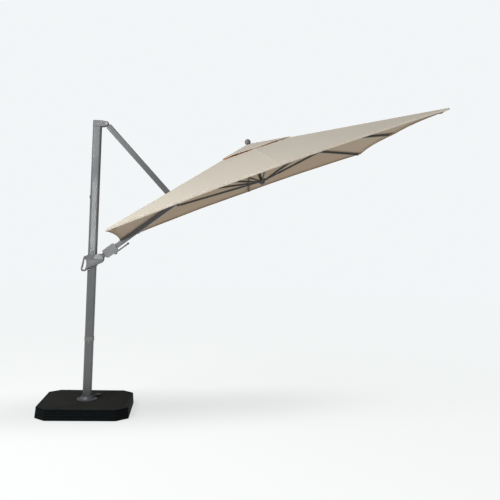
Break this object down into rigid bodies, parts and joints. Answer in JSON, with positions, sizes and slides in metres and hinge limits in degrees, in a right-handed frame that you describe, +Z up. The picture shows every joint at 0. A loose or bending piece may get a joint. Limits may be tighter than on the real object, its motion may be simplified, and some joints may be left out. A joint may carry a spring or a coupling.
{
  "type": "cantilever patio umbrella",
  "caption": "Cantilever patio umbrella: square tilted canopy on a boom, swivelling mast with slider and strut, and a square ballasted base.",
  "frame": {"origin": "centre of the base on the ground, below the mast's swivel axis", "axes": "+Z up along the mast, +X from the mast towards the canopy"},
  "size_m": [3.5171, 3, 2.938],
  "materials": {
    "base_plastic": "fine-grained near-black moulding",
    "ballast_stone": "cast concrete",
    "steel_frame": "black enamel",
    "foot_rubber": "matt",
    "flange_grey": "grey powder coat",
    "zinc": "zinc-plated",
    "bush_nylon": "natural nylon",
    "frame_grey": "anthracite powder coat",
    "head_grey": "grey casting",
    "slider_grey": "grey glass-filled nylon",
    "housing_dark": "dark grey nylon",
    "knob_black": "black",
    "rib_dark": "dark grey powder coat",
    "hub_dark": "dark grey nylon",
    "finial_grey": "grey",
    "cloth_beige": "woven polyester, beige"
  },
  "bodies": {
    "base": {"base_cover": "base_plastic", "base_tray": "base_plastic", "ballast_slabs": "ballast_stone", "cross_frame": "steel_frame", "base_feet": "foot_rubber", "foot_flange": "flange_grey", "flange_bolts": "zinc", "swivel_bush": "bush_nylon"},
    "pedal": {"foot_pedal": "flange_grey"},
    "mast": {"lower_mast": "frame_grey", "upper_mast": "frame_grey", "swivel_spigot": "steel_frame", "joint_sleeve": "frame_grey", "joint_collar": "housing_dark", "head_cheeks": "head_grey", "head_cap": "head_grey", "head_bolts": "zinc", "strut_bolt": "zinc"},
    "strut": {"strut_tube": "frame_grey", "strut_top_eye": "head_grey", "strut_fork": "head_grey", "strut_fork_bolts": "zinc"},
    "slider": {"slider_liner": "bush_nylon", "slider_body": "slider_grey", "boom_pin": "zinc", "slider_covers": "slider_grey", "slider_grip": "slider_grey"},
    "lever": {"release_lever": "housing_dark"},
    "boom": {"boom_tube": "frame_grey", "boom_foot": "head_grey", "boom_tip": "head_grey", "crank_housing_front": "housing_dark", "crank_housing_rear": "housing_dark", "boom_bracket": "head_grey"},
    "crank": {"winch_drum": "knob_black", "crank_shaft": "zinc", "crank_arm": "head_grey"},
    "knob": {"crank_knob": "knob_black"},
    "hub": {"top_hub": "hub_dark", "hub_pins": "zinc", "finial": "finial_grey", "canopy_cloth": "cloth_beige", "vent_cap": "cloth_beige"},
    "low_hub": {"lower_hub": "hub_dark", "centre_tube": "rib_dark"},
    "stretcher_boom": {"stretcher_boom": "rib_dark"},
    "rib_right": {"rib_right": "rib_dark"},
    "stretcher_right": {"stretcher_right": "rib_dark"},
    "rib_rear_right": {"rib_rear_right": "rib_dark"},
    "stretcher_rear_right": {"stretcher_rear_right": "rib_dark"},
    "rib_rear": {"rib_rear": "rib_dark"},
    "stretcher_rear": {"stretcher_rear": "rib_dark"},
    "rib_rear_left": {"rib_rear_left": "rib_dark"},
    "stretcher_rear_left": {"stretcher_rear_left": "rib_dark"},
    "rib_front_left": {"rib_front_left": "rib_dark"},
    "stretcher_front_left": {"stretcher_front_left": "rib_dark"},
    "rib_front": {"rib_front": "rib_dark"},
    "stretcher_front": {"stretcher_front": "rib_dark"},
    "rib_front_right": {"rib_front_right": "rib_dark"},
    "stretcher_front_right": {"stretcher_front_right": "rib_dark"}
  },
  "joints": [
    {"name": "mast_swivel", "type": "hinge", "parent": "base", "child": "mast", "pos_m": [0, 0, 0.142], "axis": [0, 0, 1], "continuous": true},
    {"name": "pedal_press", "type": "hinge", "parent": "base", "child": "pedal", "pos_m": [0.038, 0.06582, 0.125], "axis": [-0.866, 0.5, 0], "range_deg": [0, 4], "stiffness_Nm_per_rad": 20, "springref_deg": -5.73},
    {"name": "slider_slide", "type": "slide", "parent": "mast", "child": "slider", "axis": [0, 0, 1], "range_m": [-0.25, 0.4]},
    {"name": "boom_hinge", "type": "hinge", "parent": "slider", "child": "boom", "pos_m": [0.065, 0, 1.515], "axis": [0, 1, 0], "range_deg": [-25, 25]},
    {"name": "strut_hinge", "type": "hinge", "parent": "mast", "child": "strut", "pos_m": [0.09, 0, 2.872], "axis": [0, -1, 0], "range_deg": [-25, 25]},
    {"name": "lever_squeeze", "type": "hinge", "parent": "slider", "child": "lever", "pos_m": [-0.064, 0, 1.52], "axis": [0, 1, 0], "range_deg": [0, 2.2], "stiffness_Nm_per_rad": 1, "springref_deg": -8.59},
    {"name": "canopy_fold", "type": "hinge", "parent": "boom", "child": "hub", "pos_m": [1.51091, 0, 2.66102], "axis": [0, 1, 0], "range_deg": [0, 64], "deforming": ["canopy_cloth"]},
    {"name": "low_hub_slide", "type": "slide", "parent": "hub", "child": "low_hub", "axis": [0.3738, 0, -0.9275], "range_m": [0, 1.38089]},
    {"name": "rib_right_hinge", "type": "hinge", "parent": "hub", "child": "rib_right", "pos_m": [1.59245, 0, 2.72622], "axis": [0, 1, 0], "range_deg": [0, 65]},
    {"name": "stretcher_right_hinge", "type": "hinge", "parent": "rib_right", "child": "stretcher_right", "pos_m": [2.48731, 0, 2.82431], "axis": [0, 1, 0], "range_deg": [-136.42, 0]},
    {"name": "rib_rear_right_hinge", "type": "hinge", "parent": "hub", "child": "rib_rear_right", "pos_m": [1.57751, 0.03889, 2.7202], "axis": [-0.6558, 0.7071, -0.2643], "range_deg": [0, 65]},
    {"name": "stretcher_rear_right_hinge", "type": "hinge", "parent": "rib_rear_right", "child": "stretcher_rear_right", "pos_m": [2.22628, 0.66102, 2.77475], "axis": [-0.6558, 0.7071, -0.2643], "range_deg": [-130.12, 0]},
    {"name": "rib_rear_hinge", "type": "hinge", "parent": "hub", "child": "rib_rear", "pos_m": [1.54144, 0.055, 2.70566], "axis": [-0.9275, 0, -0.3738], "range_deg": [0, 65]},
    {"name": "stretcher_rear_hinge", "type": "hinge", "parent": "rib_rear", "child": "stretcher_rear", "pos_m": [1.63247, 0.92166, 2.47979], "axis": [-0.9275, 0, -0.3738], "range_deg": [-136.42, 0]},
    {"name": "rib_rear_left_hinge", "type": "hinge", "parent": "hub", "child": "rib_rear_left", "pos_m": [1.50537, 0.03889, 2.69113], "axis": [-0.6558, -0.7071, -0.2643], "range_deg": [0, 65]},
    {"name": "stretcher_rear_left_hinge", "type": "hinge", "parent": "rib_rear_left", "child": "stretcher_rear_left", "pos_m": [1.00007, 0.66102, 2.28058], "axis": [-0.6558, -0.7071, -0.2643], "range_deg": [-130.12, 0]},
    {"name": "rib_front_left_hinge", "type": "hinge", "parent": "hub", "child": "rib_front_left", "pos_m": [1.50537, -0.03889, 2.69113], "axis": [0.6558, -0.7071, 0.2643], "range_deg": [0, 65]},
    {"name": "stretcher_front_left_hinge", "type": "hinge", "parent": "rib_front_left", "child": "stretcher_front_left", "pos_m": [1.00007, -0.66102, 2.28058], "axis": [0.6558, -0.7071, 0.2643], "range_deg": [-130.12, 0]},
    {"name": "rib_front_hinge", "type": "hinge", "parent": "hub", "child": "rib_front", "pos_m": [1.54144, -0.055, 2.70566], "axis": [0.9275, 0, 0.3738], "range_deg": [0, 65]},
    {"name": "stretcher_front_hinge", "type": "hinge", "parent": "rib_front", "child": "stretcher_front", "pos_m": [1.63247, -0.92166, 2.47979], "axis": [0.9275, 0, 0.3738], "range_deg": [-136.42, 0]},
    {"name": "rib_front_right_hinge", "type": "hinge", "parent": "hub", "child": "rib_front_right", "pos_m": [1.57751, -0.03889, 2.7202], "axis": [0.6558, 0.7071, 0.2643], "range_deg": [0, 65]},
    {"name": "stretcher_front_right_hinge", "type": "hinge", "parent": "rib_front_right", "child": "stretcher_front_right", "pos_m": [2.22628, -0.66102, 2.77475], "axis": [0.6558, 0.7071, 0.2643], "range_deg": [-130.12, 0]},
    {"name": "stretcher_boom_hinge", "type": "hinge", "parent": "boom", "child": "stretcher_boom", "pos_m": [0.83426, 0, 2.07877], "axis": [0, -1, 0], "range_deg": [-144.68, 0]},
    {"name": "crank_turn", "type": "hinge", "parent": "boom", "child": "crank", "pos_m": [0.22661, 0, 1.57674], "axis": [0, 1, 0], "continuous": true},
    {"name": "knob_spin", "type": "hinge", "parent": "crank", "child": "knob", "pos_m": [0.35357, 0, 1.67736], "axis": [0, 1, 0], "continuous": true}
  ],
  "couplings": [
    {"joint": "boom_hinge", "follows": "slider_slide", "rad_per_m": 0.733},
    {"joint": "strut_hinge", "follows": "slider_slide", "rad_per_m": 0.577},
    {"joint": "low_hub_slide", "follows": "canopy_fold", "m_per_rad": 1.2362},
    {"joint": "rib_right_hinge", "follows": "canopy_fold", "ratio": 1},
    {"joint": "stretcher_right_hinge", "follows": "canopy_fold", "ratio": -2.1159},
    {"joint": "rib_rear_right_hinge", "follows": "canopy_fold", "ratio": 1},
    {"joint": "stretcher_rear_right_hinge", "follows": "canopy_fold", "ratio": -2.0174},
    {"joint": "rib_rear_hinge", "follows": "canopy_fold", "ratio": 1},
    {"joint": "stretcher_rear_hinge", "follows": "canopy_fold", "ratio": -2.1159},
    {"joint": "rib_rear_left_hinge", "follows": "canopy_fold", "ratio": 1},
    {"joint": "stretcher_rear_left_hinge", "follows": "canopy_fold", "ratio": -2.0174},
    {"joint": "rib_front_left_hinge", "follows": "canopy_fold", "ratio": 1},
    {"joint": "stretcher_front_left_hinge", "follows": "canopy_fold", "ratio": -2.0174},
    {"joint": "rib_front_hinge", "follows": "canopy_fold", "ratio": 1},
    {"joint": "stretcher_front_hinge", "follows": "canopy_fold", "ratio": -2.1159},
    {"joint": "rib_front_right_hinge", "follows": "canopy_fold", "ratio": 1},
    {"joint": "stretcher_front_right_hinge", "follows": "canopy_fold", "ratio": -2.0174},
    {"joint": "stretcher_boom_hinge", "follows": "canopy_fold", "ratio": -2.245},
    {"joint": "crank_turn", "follows": "canopy_fold", "ratio": 140}
  ]
}
